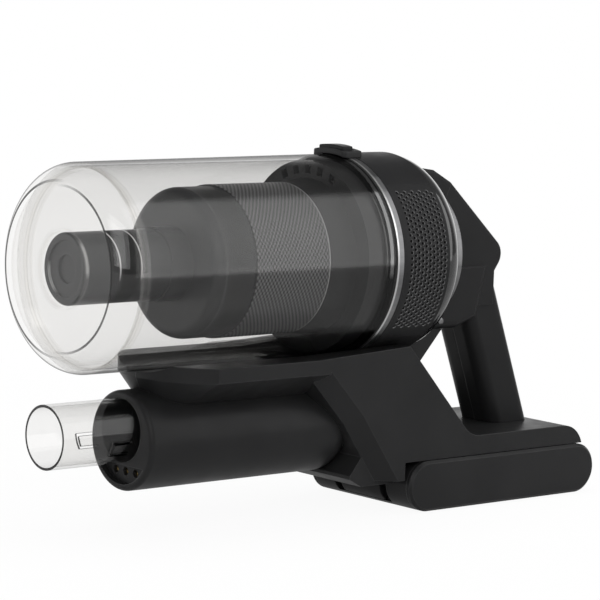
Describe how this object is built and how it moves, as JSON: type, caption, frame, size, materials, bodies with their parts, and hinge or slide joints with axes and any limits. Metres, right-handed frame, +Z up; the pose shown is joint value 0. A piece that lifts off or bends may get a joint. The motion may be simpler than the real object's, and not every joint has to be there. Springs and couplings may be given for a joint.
{
  "type": "handheld vacuum",
  "caption": "Cordless handheld vacuum with a clear bin, cyclone, perforated motor drum, leaning handle and slide-on battery.",
  "frame": {"origin": "middle of the battery's flat underside, which the vacuum rests on", "axes": "+X to the rear, along the bin axis away from the inlet; +Z up; +Y to the side away from the picture's camera"},
  "size_m": [0.385, 0.1188, 0.2138],
  "materials": {
    "clear_smoke": "clear, smoke-tinted, polished",
    "charcoal": "satin charcoal",
    "black_satin": "satin black",
    "black_gloss": "gloss black",
    "cyclone_grey": "satin dark grey",
    "mesh_steel": "fine woven mesh",
    "satin_silver": "satin silver",
    "soft_black": "matt soft",
    "filter_felt": "felt",
    "filter_dark": "felt",
    "steel": "turned",
    "alloy": "satin",
    "iron": "laminated",
    "contact_brass": "bright",
    "board_green": "solder mask",
    "cell_wrap": "shrink wrap over a metal can",
    "display_black": "polished dark window",
    "button_grey": "satin grey"
  },
  "bodies": {
    "main_body": {"front_ring": "satin_silver", "motor_drum": "charcoal", "grille_left": "charcoal", "grille_right": "charcoal", "rear_bell": "black_gloss", "satin_ring": "satin_silver", "motor_cradle": "black_satin", "pre_filter": "filter_felt", "exhaust_filter": "filter_dark", "motor_can": "alloy", "front_bearing": "steel", "rear_bearing": "steel", "stator": "iron", "motor_mount": "soft_black", "latch_base": "black_satin", "nozzle_housing": "black_satin", "contact_block": "black_satin", "contact_sleeves": "contact_brass", "inlet_tube": "clear_smoke", "tube_seal": "soft_black", "duct_elbow": "black_satin", "body_left": "black_satin", "body_right": "black_satin", "leg_web": "black_satin", "handle_left": "black_satin", "handle_right": "black_satin", "handle_crown": "charcoal", "grip_pad": "soft_black", "handle_pin": "steel", "handle_screws": "steel", "control_panel": "black_gloss", "display_lens": "display_black", "control_board": "board_green", "battery_rails": "black_satin", "dock_terminal": "black_satin"},
    "rotor": {"rotor_shaft": "steel", "impeller": "alloy"},
    "dust_bin": {"bin_shell": "clear_smoke", "bin_gasket": "soft_black", "inlet_hood": "clear_smoke", "cyclone_flange": "black_satin", "mesh_cage": "cyclone_grey", "mesh_screen": "mesh_steel", "shroud_cap": "cyclone_grey", "fine_dust_cup": "black_gloss", "dust_funnel": "cyclone_grey", "cone_pack": "cyclone_grey"},
    "lid": {"bin_lid": "clear_smoke", "lid_seal": "clear_smoke"},
    "latch": {"latch_button": "charcoal"},
    "battery": {"battery_sleeve": "black_satin", "battery_cap_left": "black_satin", "battery_cap_right": "black_satin", "battery_cells": "cell_wrap", "cell_holders": "black_satin", "battery_board": "board_green"},
    "release": {"battery_release": "charcoal"},
    "power": {"power_button": "button_grey"},
    "plus": {"plus_button": "button_grey"},
    "minus": {"minus_button": "button_grey"}
  },
  "joints": [
    {"name": "rotor_spin", "type": "hinge", "parent": "main_body", "child": "rotor", "pos_m": [-0.06, 0, 0.149], "axis": [1, 0, 0], "continuous": true},
    {"name": "bin_slide", "type": "slide", "parent": "main_body", "child": "dust_bin", "axis": [-1, 0, 0], "range_m": [0, 0.06]},
    {"name": "lid_pull", "type": "slide", "parent": "dust_bin", "child": "lid", "axis": [-1, 0, 0], "range_m": [0, 0.03]},
    {"name": "latch_press", "type": "slide", "parent": "main_body", "child": "latch", "axis": [0, 0, -1], "range_m": [0, 0.0016], "stiffness_N_per_m": 1000},
    {"name": "battery_slide", "type": "slide", "parent": "main_body", "child": "battery", "axis": [1, 0, 0], "range_m": [0, 0.125]},
    {"name": "release_press", "type": "slide", "parent": "battery", "child": "release", "axis": [1, 0, 0], "range_m": [0, 0.0024], "stiffness_N_per_m": 800},
    {"name": "power_press", "type": "slide", "parent": "main_body", "child": "power", "axis": [-0.6706, 0, -0.7418], "range_m": [0, 0.001], "stiffness_N_per_m": 400},
    {"name": "plus_press", "type": "slide", "parent": "main_body", "child": "plus", "axis": [-0.6706, 0, -0.7418], "range_m": [0, 0.001], "stiffness_N_per_m": 400},
    {"name": "minus_press", "type": "slide", "parent": "main_body", "child": "minus", "axis": [-0.6706, 0, -0.7418], "range_m": [0, 0.001], "stiffness_N_per_m": 400}
  ]
}
